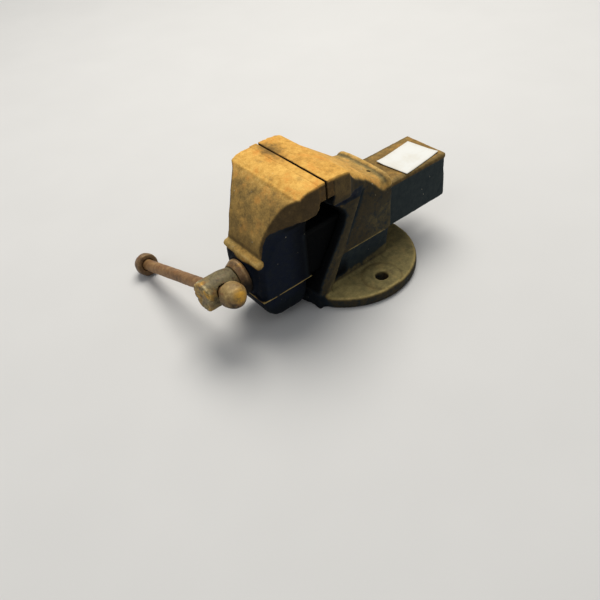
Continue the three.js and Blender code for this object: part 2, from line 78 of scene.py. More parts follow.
class Skin:
    """A closed mesh as arrays, in millimetres, that can be smoothed and pushed about."""

    def __init__(self, mesh):
        count = len(mesh.vertices)
        flat = np.empty(count * 3, np.float32)
        mesh.vertices.foreach_get("co", flat)
        self.points = flat.reshape(-1, 3).astype(float) / MM
        pairs = np.empty(len(mesh.edges) * 2, np.int32)
        mesh.edges.foreach_get("vertices", pairs)
        self.pairs = pairs.reshape(-1, 2)
        self.valence = np.bincount(self.pairs.ravel(), minlength=count)[:, None]
        self.mesh = mesh
        self.fields = {}

    def neighbours(self, values):
        """The mean of each point's neighbours."""
        total = np.zeros_like(values)
        for column in range(values.shape[1]):
            first = np.bincount(self.pairs[:, 0], values[self.pairs[:, 1], column], len(values))
            second = np.bincount(self.pairs[:, 1], values[self.pairs[:, 0], column], len(values))
            total[:, column] = first + second
        return total / self.valence

    def smooth(self, rounds, amount=0.6):
        """Moves every point part of the way to the mean of its neighbours."""
        for _ in range(rounds):
            self.points += amount * (self.neighbours(self.points) - self.points)

    def relax(self, mask, rounds):
        """Smooths only where the mask is 1."""
        for _ in range(rounds):
            self.points += 0.6 * mask[:, None] * (self.neighbours(self.points) - self.points)

    def blurred(self, values, rounds):
        """One value for each point, spread over its neighbours."""
        column = values[:, None]
        for _ in range(rounds):
            column = 0.4 * column + 0.6 * self.neighbours(column)
        return column[:, 0]

    def normals(self):
        """Which way each point faces."""
        self.write()
        flat = np.empty(len(self.points) * 3, np.float32)
        self.mesh.vertices.foreach_get("normal", flat)
        return flat.reshape(-1, 3).astype(float)

    def broad_normals(self, rounds=8):
        """Which way the surface faces on the whole, without its small bumps."""
        directions = self.normals()
        for _ in range(rounds):
            directions = self.neighbours(directions)
        return directions / np.linalg.norm(directions, axis=1)[:, None]

    def curvature(self, rounds=6):
        """Positive on edges that stand out, negative in corners, about -1 to 1."""
        relaxed = self.points.copy()
        for _ in range(rounds):
            relaxed += 0.6 * (self.neighbours(relaxed) - relaxed)
        return np.clip(((self.points - relaxed) * self.normals()).sum(1) / 0.25, -1, 1)

    def push(self, distances):
        """Moves each point along its normal by its distance in mm."""
        self.points += self.normals() * distances[:, None]

    def write(self):
        """Carries the points over to the mesh, in metres."""
        self.mesh.vertices.foreach_set("co", (self.points * MM).astype(np.float32).ravel())
        self.mesh.update()


def skin_of(node, voxel, filler=None):
    """A voxel skin of a CAD node, and of a filler mesh melted into it. voxel is its grain in mm."""
    both = bmesh.new()
    both.from_mesh(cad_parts[node].data)
    if filler:
        both.from_mesh(filler)
    probe = bpy.data.objects.new("probe", bpy.data.meshes.new("probe"))
    both.to_mesh(probe.data)
    bpy.context.scene.collection.objects.link(probe)
    remesh = probe.modifiers.new("remesh", "REMESH")
    remesh.mode = "VOXEL"
    remesh.voxel_size = voxel * MM
    depsgraph = bpy.context.evaluated_depsgraph_get()
    mesh = bpy.data.meshes.new_from_object(probe.evaluated_get(depsgraph))
    bpy.data.objects.remove(probe)
    return Skin(mesh)


def roughen(skin, lumps, pits, chips, offset):
    """Casting unevenness, rust pits and chipped edges, each given as a depth in mm."""
    skin.push(lumps * roughness_field(skin.points, LUMP_SIZE, 3, offset))
    pitting = roughness_field(skin.points, PIT_SIZE, 3, offset + 7)
    skin.push(-pits * ramp(0.1, 0.7, pitting))
    if chips:
        edge = ramp(0.2, 0.7, skin.curvature())
        bites = ramp(0.15, 0.6, roughness_field(skin.points, CHIP_SIZE, 2, offset + 13))
        skin.push(-chips * edge * bites)


def piece_from(skin, name, body, node, material):
    """Turns a finished skin into the piece that stands for a CAD node."""
    skin.fields["curve"] = skin.curvature()
    skin.write()
    for field, values in skin.fields.items():
        attribute = skin.mesh.attributes.new(field, "FLOAT", "POINT")
        attribute.data.foreach_set("value", values.astype(np.float32))
    skin.mesh.materials.clear()
    skin.mesh.materials.append(material)
    skin.mesh.polygons.foreach_set("use_smooth", np.ones(len(skin.mesh.polygons), bool))
    skin.mesh.name = name
    piece = bpy.data.objects.new(name, skin.mesh)
    bpy.context.scene.collection.objects.link(piece)
    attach(piece, body)
    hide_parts(node)


# ---------------------------------------------------------------- shader nodes


class Graph:
    """A material's node tree, with short ways to add nodes."""

    def __init__(self, name):
        self.material = bpy.data.materials.new(name)
        self.material.use_nodes = True
        self.tree = self.material.node_tree
        self.tree.nodes.clear()
        coordinates = self.add("ShaderNodeTexCoord")
        scaled = self.add("ShaderNodeVectorMath", coordinates.outputs["Object"], operation="SCALE")
        scaled.inputs["Scale"].default_value = 1 / MM
        self.place = scaled.outputs[0]

    def add(self, kind, *values, **settings):
        """Adds a node and feeds the values to its first inputs."""
        node = self.tree.nodes.new(kind)
        for key, value in settings.items():
            setattr(node, key, value)
        for socket, value in zip(node.inputs, values):
            self.feed(socket, value)
        return node

    def feed(self, socket, value):
        """Links a socket, or sets a plain value."""
        if isinstance(value, bpy.types.NodeSocket):
            self.tree.links.new(value, socket)
        elif value is not None:
            socket.default_value = value

    def field(self, name):
        """The value of one of the skin's fields."""
        return self.add("ShaderNodeAttribute", attribute_name=name).outputs["Fac"]

    def noise(self, size, detail, rough=0.55, stretch=None):
        """Noise from 0 to 1 with lumps of that size in mm."""
        node = self.add("ShaderNodeTexNoise")
        place = self.place
        if stretch:
            stretched = self.add("ShaderNodeVectorMath", place, stretch, operation="MULTIPLY")
            place = stretched.outputs[0]
        self.feed(node.inputs["Vector"], place)
        self.feed(node.inputs["Scale"], 1 / size)
        self.feed(node.inputs["Detail"], detail)
        self.feed(node.inputs["Roughness"], rough)
        return node.outputs["Fac"]

    def math(self, operation, *values):
        """One sum, product or the like of sockets and numbers."""
        return self.add("ShaderNodeMath", *values, operation=operation).outputs[0]

    def total(self, *terms):
        """A sum of sockets, or of (socket, weight, centre) terms that sway about their centre."""
        result = 0.0
        for term in terms:
            if isinstance(term, tuple):
                socket, weight, centre = term
                term = self.math("MULTIPLY_ADD", socket, weight, -weight * centre)
            result = self.math("ADD", term, result)
        return result

    def rise(self, value, low, high):
        """0 below low, 1 above high, and a smooth rise between them."""
        node = self.add("ShaderNodeMapRange", value, interpolation_type="SMOOTHSTEP")
        self.feed(node.inputs["From Min"], low)
        self.feed(node.inputs["From Max"], high)
        return node.outputs["Result"]

    def span(self, value, low, high):
        """Maps 0..1 onto low..high."""
        node = self.add("ShaderNodeMapRange", value)
        self.feed(node.inputs["To Min"], low)
        self.feed(node.inputs["To Max"], high)
        return node.outputs["Result"]

    def mix(self, factor, first, second):
        """Goes from the first colour to the second as the factor goes from 0 to 1."""
        node = self.add("ShaderNodeMix", data_type="RGBA")
        self.feed(node.inputs["Factor"], factor)
        self.feed(node.inputs[6], first)
        self.feed(node.inputs[7], second)
        return node.outputs[2]

    def colours(self, factor, *stops):
        """A colour ramp through (place, colour) stops."""
        node = self.add("ShaderNodeValToRGB", factor)
        elements = node.color_ramp.elements
        for _ in range(len(stops) - 2):
            elements.new(0.5)
        for element, (place, colour) in zip(elements, stops):
            element.position = place
            element.color = (*colour, 1)
        return node.outputs["Color"]

    def bump(self, height, depth, under=None):
        """depth is the height of the relief in mm."""
        node = self.add("ShaderNodeBump")
        self.feed(node.inputs["Height"], height)
        self.feed(node.inputs["Distance"], depth * MM)
        self.feed(node.inputs["Strength"], 1.0)
        if under is not None:
            self.feed(node.inputs["Normal"], under)
        return node.outputs["Normal"]

    def finish(self, colour, rough, metallic, normal, specular):
        """Ends the tree with its surface, and returns the material."""
        shader = self.add("ShaderNodeBsdfPrincipled")
        self.feed(shader.inputs["Base Color"], colour)
        self.feed(shader.inputs["Roughness"], rough)
        self.feed(shader.inputs["Metallic"], metallic)
        self.feed(shader.inputs["Normal"], normal)
        self.feed(shader.inputs["Specular IOR Level"], specular)
        self.add("ShaderNodeOutputMaterial", shader.outputs[0])
        return self.material


def rgb(red, green, blue):
    """A colour given as it looks on a screen, 0 to 255, as linear light."""
    def linear(value):
        value /= 255
        return value / 12.92 if value <= 0.04045 else ((value + 0.055) / 1.055) ** 2.4
    return tuple(linear(value) for value in (red, green, blue))


def rgba(*colour):
    """The same colour with an alpha of 1."""
    return (*rgb(*colour), 1.0)


# ---------------------------------------------------------------- materials

# Paint, rust and dirt on the castings, and the black that painted shade and grime darken them to.
NAVY = rgba(9, 18, 38)
WORN_NAVY = rgba(18, 24, 34)
SLATE = rgba(8, 18, 42)
WORN_SLATE = rgba(40, 43, 43)
DULL_PAINT = rgba(21, 34, 39)
DUSTY_PAINT = rgba(56, 65, 64)
ORANGE_RUST = rgba(218, 138, 56)
BROWN_STAIN = rgba(92, 78, 58)
PALE_SPECK = rgba(196, 188, 164)
BLACK_SHADE_AND_GRIME = rgba(4, 4, 4)

# Rust and dirt on the handled steel, and the dark of its painted shade.
RED_RUST = rgba(128, 72, 40)
YELLOW_RUST = rgba(218, 162, 52)
DARK_SHADE_AND_DIRT = rgba(16, 12, 9)

# Steel patinas, each as its dark, middle and light tone.
BROWN_STEEL = (rgb(46, 32, 20), rgb(140, 104, 66), rgb(204, 166, 110))
RED_STEEL = (rgb(32, 22, 14), rgb(98, 74, 48), rgb(158, 128, 88))
HEAD_STEEL = (rgb(44, 38, 26), rgb(134, 120, 82), rgb(196, 178, 132))
KNOB_STEEL = (rgb(58, 42, 24), rgb(160, 132, 82), rgb(222, 194, 134))
GREY_STEEL = (rgb(44, 40, 36), rgb(108, 100, 90), rgb(168, 160, 148))

# The label.
WHITE_PAPER = rgba(232, 232, 226)
AGED_PAPER = rgba(224, 221, 210)
PAPER_DIRT = rgba(188, 172, 138)


def rust_colour(g, noises, sunny, edge):
    """Rust from brown to gold, or to a greenish olive, with orange and brown patches."""
    broad, mottle, grain = noises
    sway = g.total((broad, 0.5, 0.5), (mottle, 0.7, 0.5), (grain, 0.3, 0.5))
    sway = g.math("MULTIPLY", sway, g.span(sunny, 0.45, 1.0))
    sway = g.math("MULTIPLY", sway, g.span(g.field("olive"), 1.0, 0.7))
    tone = g.total(g.field("gold"), sway, (edge, 0.14, 0))
    golden = g.colours(
        tone,
        (0.0, rgb(38, 27, 15)),
        (0.25, rgb(88, 65, 34)),
        (0.48, rgb(148, 112, 57)),
        (0.72, rgb(210, 157, 74)),
        (1.0, rgb(242, 192, 100)),
    )
    olive = g.colours(
        tone,
        (0.0, rgb(30, 28, 23)),
        (0.25, rgb(68, 64, 49)),
        (0.5, rgb(116, 106, 70)),
        (0.75, rgb(160, 145, 94)),
        (1.0, rgb(204, 188, 136)),
    )
    rust = g.mix(g.field("olive"), golden, olive)
    orange = g.math("MULTIPLY", g.rise(g.noise(6.5, 4, 0.65), 0.5, 0.74), sunny)
    orange = g.math("MULTIPLY", orange, g.span(g.field("olive"), 0.65, 0.1))
    rust = g.mix(orange, rust, ORANGE_RUST)
    stain = g.math("MULTIPLY", g.rise(g.noise(8.5, 5, 0.7), 0.55, 0.72), 0.42)
    return g.mix(stain, rust, BROWN_STAIN)


def painted_iron(name, paint, worn_paint):
    """Old cast iron. The fields say where the paint is gone ("bare"), how light the rust is
    ("gold"), how green it is ("olive") and where painted shade and old oil darken it ("grime")."""
    g = Graph(name)
    broad = g.noise(13, 3)
    mottle = g.noise(3.2, 4, 0.62)
    grain = g.noise(0.8, 3, 0.6)
    edge = g.rise(g.field("curve"), 0.2, 0.8)
    corner = g.rise(g.field("curve"), -0.15, -0.9)
    sunny = g.rise(g.field("gold"), 0.3, 0.75)
    rust = rust_colour(g, (broad, mottle, grain), sunny, edge)

    faded = g.mix(g.rise(mottle, 0.35, 0.75), paint, worn_paint)
    faded = g.mix(g.field("olive"), faded, g.mix(mottle, DULL_PAINT, DUSTY_PAINT))
    bare = g.total(g.field("bare"), (mottle, 0.5, 0.5), (grain, 0.3, 0.5), (edge, 0.3, 0))
    bare = g.rise(bare, 0.4, 0.64)
    colour = g.mix(bare, faded, rust)
    speck = g.rise(g.noise(1.2, 0, 0.3), 0.86, 0.885)
    colour = g.mix(g.math("MULTIPLY", speck, 0.6), colour, PALE_SPECK)
    # Painted shade darkens the colour towards black in corners, and so do the painted shade and old
    # oil of the grime field.
    dark = g.math("MAXIMUM", g.math("MULTIPLY", corner, 0.6), g.field("shade_and_grime"))
    colour = g.mix(dark, colour, BLACK_SHADE_AND_GRIME)

    rough = g.total(
        g.span(bare, 0.68, 0.8), (grain, 0.25, 0.5), (edge, -0.12, 0), (g.field("shade_and_grime"), 0.3, 0)
    )
    metallic = g.math("MULTIPLY", g.math("MULTIPLY", edge, bare), 0.2)
    normal = g.bump(mottle, 0.25)
    normal = g.bump(grain, 0.14, normal)
    normal = g.bump(bare, -0.05, normal)
    return g.finish(colour, rough, metallic, normal, 0.1)


def worn_steel(name, dark, middle, light):
    """Handled steel with a brown patina, pitted and rubbed bright on its edges."""
    g = Graph(name)
    broad = g.noise(8, 3)
    mottle = g.noise(2.2, 4, 0.62)
    grain = g.noise(0.5, 3, 0.6)
    edge = g.rise(g.field("curve"), 0.2, 0.85)
    corner = g.rise(g.field("curve"), -0.2, -0.9)
    tone = g.total(
        g.field("gold"), (broad, 0.7, 0.5), (mottle, 0.8, 0.5), (grain, 0.3, 0.5), (edge, 0.2, 0)
    )
    colour = g.colours(tone, (0.0, dark), (0.5, middle), (1.0, light))
    red = g.rise(g.noise(4.5, 4, 0.65), 0.55, 0.7)
    colour = g.mix(g.math("MULTIPLY", red, 0.45), colour, RED_RUST)
    patch = g.math("MULTIPLY", g.field("orange"), g.rise(mottle, 0.2, 0.6))
    colour = g.mix(patch, colour, YELLOW_RUST)
    # Painted shade darkens the steel in its corners, and where the grime field holds painted shade
    # under the pieces and on their inner faces.
    dark_corner = g.math("MAXIMUM", g.math("MULTIPLY", corner, 0.7), g.field("shade_and_grime"))
    colour = g.mix(dark_corner, colour, DARK_SHADE_AND_DIRT)
    rough = g.total(
        g.span(tone, 0.62, 0.45), (grain, 0.3, 0.5), (patch, 0.2, 0), (g.field("shade_and_grime"), 0.35, 0)
    )
    metallic = g.math("MULTIPLY", g.rise(tone, 0.2, 0.9), 0.3)
    normal = g.bump(mottle, 0.2)
    normal = g.bump(grain, 0.1, normal)
    return g.finish(colour, rough, metallic, normal, 0.3)


def label_paper():
    """Matt white paper with a faint fibre and a little dirt towards its edges."""
    g = Graph("label_paper")
    fibre = g.noise(0.35, 4, 0.7, (1.0, 0.4, 1.0))
    cloud = g.noise(7, 3)
    colour = g.mix(g.rise(cloud, 0.4, 0.8), WHITE_PAPER, AGED_PAPER)
    colour = g.mix(g.math("MULTIPLY", g.field("dirt"), 0.14), colour, PAPER_DIRT)
    normal = g.bump(fibre, 0.03)
    return g.finish(colour, g.span(fibre, 0.78, 0.95), 0.0, normal, 0.3)


def pale_floor():
    """A plain matt surface."""
    g = Graph("pale_floor")
    cloud = g.noise(60, 2)
    colour = g.mix(cloud, rgba(214, 213, 210), rgba(220, 219, 216))
    return g.finish(colour, 0.9, 0.0, g.bump(g.noise(0.8, 2), 0.02), 0.2)


# ---------------------------------------------------------------- castings

# Heights on the castings, in mm above the bench.
JAW_TOP = 76.4
CREASE = 73.7  # where the moving jaw's top turns down into its front face
CHEEK_BOTTOM = 62.0
SLIDE_TOP = 46.8
LIP = 41.8  # the middle of the round lip across the moving jaw
PANEL_EDGE = 25.2  # the lower edge of the fixed body's side panel
LEDGE = 20.9  # the top of the moving jaw's belly
RIB_FOOT_Z = 16.9

# Places on the bench, in mm from the base's middle: x to the right, y to the rear.
SLIT_Y = -30.2  # where the jaws meet
CREASE_Y = -44.0
LIP_Y = -63.1
LIP_HALF = 12.4  # half the length of the lip's straight middle
RIB_FOOT_Y = -21.6
RIB_SLOPE = 0.47  # how far the sloping rib goes back for each mm that it rises
BEAD_Y = 13.2  # the front of the bead on the roof's rear edge
OIL_HOLE = (8.7, 10.2)
BOLT_X = 27.8
PAD_RADIUS = 10.4  # of the flat pads round the bolt holes
RIM_RADIUS = 37.1  # the upper edge of the round base

CASTING_GRAIN = 0.55  # the voxel size of the castings' skins, in mm
PLATE_GRAIN = 0.3
HATCH = 1.9  # the pitch of the grooves on the jaw plates, in mm
HATCH_DEPTH = 0.32
CLOSE_SEAM = 0.7  # how far a jaw plate and its seat reach towards each other, in mm


def facing(normals, axis, low, high):
    """1 where a surface faces along a signed axis such as "+z", 0 where it doesn't."""
    sign = 1 if axis[0] == "+" else -1
    return ramp(low, high, sign * normals[:, "xyz".index(axis[1])])


def sideways(normals, low=0.35, high=0.8):
    """1 where a surface faces to the left or to the right."""
    return np.maximum(facing(normals, "+x", low, high), facing(normals, "-x", low, high))


def hump(values, middle, half_width):
    """1 at the middle, falling to 0 at half_width on either side."""
    return ramp(half_width, 0, np.abs(values - middle))


def wander(skin, size, amount, offset):
    """Noise that makes the edge of a painted patch irregular."""
    return amount * roughness_field(skin.points, size, 3, offset)


def blend_fields(skin, layers):
    """Lays (mask, bare, gold, olive, grime) layers over each other, the last on top."""
    names = ("bare", "gold", "olive", "shade_and_grime")
    fields = {name: np.zeros(len(skin.points)) for name in names}
    for mask, *values in layers:
        for name, value in zip(names, values):
            fields[name] += mask * (value - fields[name])
    for name, values in fields.items():
        skin.fields[name] = skin.blurred(values, 2)


def reach_to_plate(skin, seat_y, sign):
    """Carries the top of a casting's seat under its jaw plate, so that no gap shows."""
    _, y, z = skin.points.T
    near = ramp(2.6, 1.0, np.abs(y - seat_y)) * ramp(66, 68, z)
    skin.points[:, 1] += sign * CLOSE_SEAM * near


def worn_top_layer(skin, gold, olive):
    """The jaw tops are worn dark beside the left end of the slit."""
    x, y, z = skin.points.T
    by_the_slit = hump(x, -14, 19) * hump(y, SLIT_Y, 8)
    return (ramp(JAW_TOP - 3, JAW_TOP - 1, z) * by_the_slit, 1.0, gold, olive, 0.0)


def behind_the_rib(y, z):
    """How far a point on the housing's side is behind the sloping rib's rear edge, in mm."""
    return y - RIB_FOOT_Y - RIB_SLOPE * (z - RIB_FOOT_Z)


def bead_filler():
    """The metal that carries the roof up to the bead on its rear edge."""
    front, rear, bottom = 6, 14.2, 50
    front_rise, rear_drop = 1.6, 0.3
    # The bead's level at each x, from the middle to the right.
    crown, *right = (0, 56.1), (4, 56.1), (12, 55.7), (16.6, 54.8), (18.2, 53.0), (19.1, 51.0)
    left = [(-x, level) for x, level in reversed(right)]
    shape = bmesh.new()
    rings = []
    for x, level in [*left, crown, *right]:
        section = (
            (front, bottom),
            (rear, bottom),
            (rear, level - rear_drop),
            (front, level + front_rise),
        )
        rings.append([shape.verts.new((x * MM, y * MM, z * MM)) for y, z in section])
    for ring, following in zip(rings, rings[1:]):
        for i in range(4):
            j = (i + 1) % 4
            shape.faces.new((ring[i], following[i], following[j], ring[j]))
    shape.faces.new(rings[0])
    shape.faces.new(reversed(rings[-1]))
    bmesh.ops.recalc_face_normals(shape, faces=shape.faces)
    mesh = bpy.data.meshes.new("bead_filler")
    shape.to_mesh(mesh)
    return mesh


def soften_foot_and_roof(skin):
    """Eases the fillet round the housing's foot, and the roof before its bead."""
    x, y, z = skin.points.T
    across = np.abs(x)
    skin.relax(hump(z, 7.5, 4) * ramp(11, 12, across) * ramp(24, 21, across), 14)
    skin.relax(ramp(6, 8, y) * ramp(12.9, 12.3, y) * ramp(51, 52, z), 8)


def carve_side_grooves(skin):
    """The groove between rib and panel, and the wide one that runs back under the cheek."""
    x, y, z = skin.points.T
    side = sideways(skin.normals(), 0.6, 0.9)
    behind_rib = hump(behind_the_rib(y, z), 0.4, 1.8) * ramp(26, 42, z) * ramp(58, 55, z)
    groove_z = 57.2 - 0.04 * (y + 12)
    under_cheek = ramp(3.0, 1.9, np.abs(z - groove_z)) * ramp(-26, -24, y) * ramp(-2, -9, y)
    skin.push(-0.6 * side * np.maximum(behind_rib, under_cheek))
    return side * behind_rib, ramp(16, 17.5, np.abs(x)) * under_cheek


def sink_oil_hole_and_pads(skin):
    """Sinks the oil hole in the roof, and the line round each bolt hole's pad."""
    x, y, z = skin.points.T
    hole_x, hole_y = OIL_HOLE
    oil_hole = ramp(1.1, 0.6, np.hypot(x - hole_x, y - hole_y)) * ramp(50, 51, z)
    from_bolt = np.hypot(np.abs(x) - BOLT_X, y)
    pad_edge = hump(from_bolt, PAD_RADIUS, 1.2) * ramp(5.8, 6.2, z) * ramp(8.5, 7.5, z)
    skin.points[:, 2] -= 1.2 * oil_hole + 0.14 * pad_edge
    skin.points[:, 2] = np.maximum(skin.points[:, 2], 0)
    return oil_hole, pad_edge


def housing_side_layers(skin, normals, patch):
    """The housing's sides: a brown panel over dull paint, and the sloping rib before them."""
    _, y, z = skin.points.T
    side = sideways(normals)
    behind = behind_the_rib(y, z)
    low_rear = side * ramp(48, 38, z + patch) * ramp(-6, 6, y + patch)
    rib = side * hump(behind, -2.2, 3.2) * ramp(56, 50, z)
    above_base = ramp(8, 9, z)
    below_panel = side * ramp(PANEL_EDGE, PANEL_EDGE - 1, z) * above_base * ramp(-1, 0.5, behind)
    panel_edge = side * hump(z, PANEL_EDGE + 0.3, 0.8) * ramp(-15, -12, y) * ramp(12, 9, y)
    cheek = side * ramp(CHEEK_BOTTOM, CHEEK_BOTTOM + 3, z) * ramp(-12, -16, y)
    return [
        (side, 0.6, 0.17, 0.8, 0.0),
        (low_rear, 0.58, 0.28, 0.9, 0.0),
        (rib, 0.8, 0.25, 0.85, 0.0),
        (rib * ramp(17, 11, z), 0.9, 0.38, 0.95, 0.0),
        (below_panel, 0.15, 0.12, 0.7, 0.0),
        (below_panel * ramp(15, 9, z + 0.7 * patch), 0.75, 0.4, 1.0, 0.0),
        # Pale line along the panel's lower edge: rubbed wear and a painted highlight.
        (panel_edge, 0.95, 0.8, 1.0, 0.0),
        (cheek, 0.85, 0.3, 0.55, 0.0),
    ]


def housing_roof_layers(skin, normals, up):
    """The rusty roof over the slide, with painted shade in the hollow before the bead on its rear
    edge.
    """
    _, y, z = skin.points.T
    wrap = 0.3 * ramp(3, 12, y)
    roof = ramp(0.3, 0.62, normals[:, 2] + wrap) * ramp(SLIDE_TOP + 2, SLIDE_TOP + 5, z)
    high = roof * ramp(52, 54, z)
    bead = roof * ramp(BEAD_Y, BEAD_Y + 0.7, y) * ramp(50, 52, z)
    return [
        (roof, 1.0, 0.75, 0.15, 0.0),
        (roof * ramp(-4, 10, y), 1.0, 0.7, 0.45, 0.0),
        (up * ramp(-12, -16, y) * ramp(69, 73, z), 1.0, 0.8, 0.0, 0.0),
        # Painted shade: a soft dark band in the hollow before the bead, darkest next to it.
        (high * hump(y, BEAD_Y - 1.4, 1.8), 1.0, 0.56, 0.85, 0.0),
        (high * hump(y, BEAD_Y - 0.3, 0.9), 1.0, 0.4, 0.9, 0.0),
        (bead, 1.0, 0.74, 0.45, 0.0),
    ]


def base_layers(skin, up, pad_edge):
    """The round base: an olive top, a dark rim, and a rubbed edge between them, with painted light
    near the housing's front foot and painted shade along its front.
    """
    x, y, z = skin.points.T
    radius = np.hypot(x, y)
    base = ramp(8.4, 7.2, z)
    top = up * base
    rim = base * ramp(RIM_RADIUS + 0.1, RIM_RADIUS + 0.6, radius)
    return [
        (top, 0.95, 0.55, 1.0, 0.0),
        # Painted light: the top is made lighter towards the front, near the housing's foot.
        (top * ramp(-12, -21, y), 0.95, 0.68, 1.0, 0.0),
        (top * pad_edge, 0.9, 0.46, 0.9, 0.0),
        (rim, 0.55, 0.14, 0.8, 0.1),
        (top * hump(radius, RIM_RADIUS, 0.9), 1.0, 0.74, 0.9, 0.0),
        # Painted shade along the front, under the moving jaw.
        (base * ramp(-29, -34, y), 0.3, 0.1, 0.5, 0.6),
    ]


def housing_shade_layers(skin, normals):
    """Dark paint and painted shade on the housing's front, which faces away from the light, and
    painted shade in the throat between the jaws.
    """
    x, y, z = skin.points.T
    above_base = ramp(8, 12, z)
    in_throat = ramp(-11, -15, y) * ramp(CHEEK_BOTTOM + 4, CHEEK_BOTTOM - 1, z) * above_base
    between = (1 - sideways(normals)) * ramp(-20, -23, y) * ramp(60, 56, z) * above_base
    return [
        # Dark paint with painted shade on the faces that look forward, away from the light.
        (facing(normals, "-y", 0.25, 0.6) * above_base, 0.1, 0.05, 0.5, 0.85),
        # Painted shade in the throat under the cheeks.
        (in_throat * ramp(17.5, 15.5, np.abs(x)), 0.1, 0.0, 0.5, 0.95),
        (between, 0.0, 0.0, 0.5, 0.95),
    ]


def fixed_body():
    """The fixed casting: round base, housing and rear jaw."""
    skin = skin_of("fixed_body", CASTING_GRAIN, bead_filler())
    skin.smooth(3)
    reach_to_plate(skin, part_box("rear_jaw_plate")[1][1] / MM, -1)
    soften_foot_and_roof(skin)
    rib_groove, cheek_groove = carve_side_grooves(skin)
    normals = skin.broad_normals()
    roughen(skin, lumps=0.12, pits=0.1, chips=0.18, offset=3.0)
    oil_hole, pad_edge = sink_oil_hole_and_pads(skin)
    up = facing(normals, "+z", 0.15, 0.5)
    blend_fields(skin, [
        (np.ones(len(skin.points)), 0.6, 0.22, 0.5, 0.3),
        *housing_side_layers(skin, normals, wander(skin, 9, 5, 31)),
        *housing_roof_layers(skin, normals, up),
        (oil_hole, 0.0, 0.0, 0.5, 0.9),
        *base_layers(skin, up, pad_edge),
        *housing_shade_layers(skin, normals),
        (rib_groove, 0.1, 0.1, 0.6, 0.0),
        (cheek_groove, 0.0, 0.05, 0.0, 0.0),
        (ramp(JAW_TOP - 1.6, JAW_TOP - 0.9, skin.points[:, 2]), 1.0, 0.78, 0.0, 0.0),
        worn_top_layer(skin, 0.46, 0.25),
    ])
    material = painted_iron("fixed_casting", SLATE, WORN_SLATE)
    piece_from(skin, "fixed_body_casting", "body", "fixed_body", material)


def shape_front_face(skin):
    """Raises the crease across the moving jaw's front, and rounds the face's side edges."""
    _, y, z = skin.points.T
    crease = hump(z, CREASE, 1.0) * ramp(CREASE_Y, CREASE_Y - 0.6, y)
    skin.push(0.35 * crease)
    edge = skin.blurred(ramp(0.1, 0.5, skin.curvature()), 5)
    on_face = ramp(45, 49, z) * ramp(73, 71, z) * ramp(-43, -45, y)
    skin.relax(np.minimum(1, 1.5 * edge) * on_face, 30)


def jaw_side_layers(skin, normals, side, patch):
    """The moving jaw's sides: rust above navy paint, with painted shade under the lip and towards
    the throat, and a deep painted shadow under the cheek where they meet.
    """
    _, y, z = skin.points.T
    front = facing(normals, "-y", 0.3, 0.6)
    neck = sideways(normals, 0.7, 0.88) * ramp(-38.5, -39.5, y)
    border = z + 0.3 * patch
    return [
        (side, 0.85, 0.23, 0.45, 0.0),
        (side * ramp(LIP + 6, LIP - 2, z), 0.3, 0.12, 0.1, 0.1),
        # Painted shade under the lip's overhang.
        (front * ramp(LIP, LIP - 3, z), 0.3, 0.1, 0.1, 0.4),
        (neck * ramp(59, 55, border), 0.0, 0.1, 0.1, 0.0),
        # Painted shade darkening the side towards the throat.
        (side * ramp(-50, -38, y) * ramp(58, 54, z), 0.0, 0.0, 0.1, 0.7),
        # Painted shadow under the cheek.
        (side * ramp(-53, -46, y) * hump(border, 56.5, 2.6), 0.0, 0.0, 0.1, 0.9),
    ]


def jaw_face_layers(skin, side, patch):
    """The moving jaw's broad front: golden above its crease, duller and stained below."""
    x, y, z = skin.points.T
    face = (1 - side) * ramp(-38, -42, y) * ramp(LIP - 3, LIP, z)
    below_crease = ramp(CREASE + 0.3, CREASE - 0.4, z) * ramp(CREASE_Y, CREASE_Y - 0.6, y)
    stained = ramp(-0.5, 0.6, patch / 3)
    return [
        (face, 1.0, 0.86, 0.0, 0.0),
        (face * below_crease, 1.0, 0.74, 0.35, 0.0),
        (face * ramp(72, 68, z + 0.6 * patch), 1.0, 0.62, 0.45, 0.0),
        (face * ramp(73, 69, z) * stained, 1.0, 0.55, 0.55, 0.0),
        (face * ramp(56, 47, z), 1.0, 0.5, 0.5, 0.0),
        (face * hump(x, -22, 4.5) * ramp(73, 70, z), 1.0, 0.74, 0.45, 0.0),
    ]


def lip_layers(skin, normals, side):
    """The round lip across the moving jaw, golden rust with a painted highlight on its lower front,
    and darker in the angle over it.
    """
    x, y, z = skin.points.T
    above_lip = (1 - side) * hump(z, LIP + 3.4, 1.8) * ramp(-58, -60, y)
    beyond_end = np.maximum(np.abs(x) - LIP_HALF, 0)
    lip = ramp(2.9, 2.5, np.linalg.norm([beyond_end, y - LIP_Y, z - LIP], axis=0))
    return [
        (above_lip, 1.0, 0.34, 0.5, 0.1),
        (lip, 1.0, 0.54, 0.5, 0.05),
        # Painted highlight on the lip's lower front, over its golden rust.
        (lip * ramp(-0.5, 0.4, normals[:, 2]), 1.0, 0.84, 0.5, 0.0),
        (lip * ramp(0.55, 0.9, normals[:, 2]), 1.0, 0.6, 0.4, 0.0),
        (lip * ramp(0, -9, x), 1.0, 0.74, 0.65, 0.0),
    ]


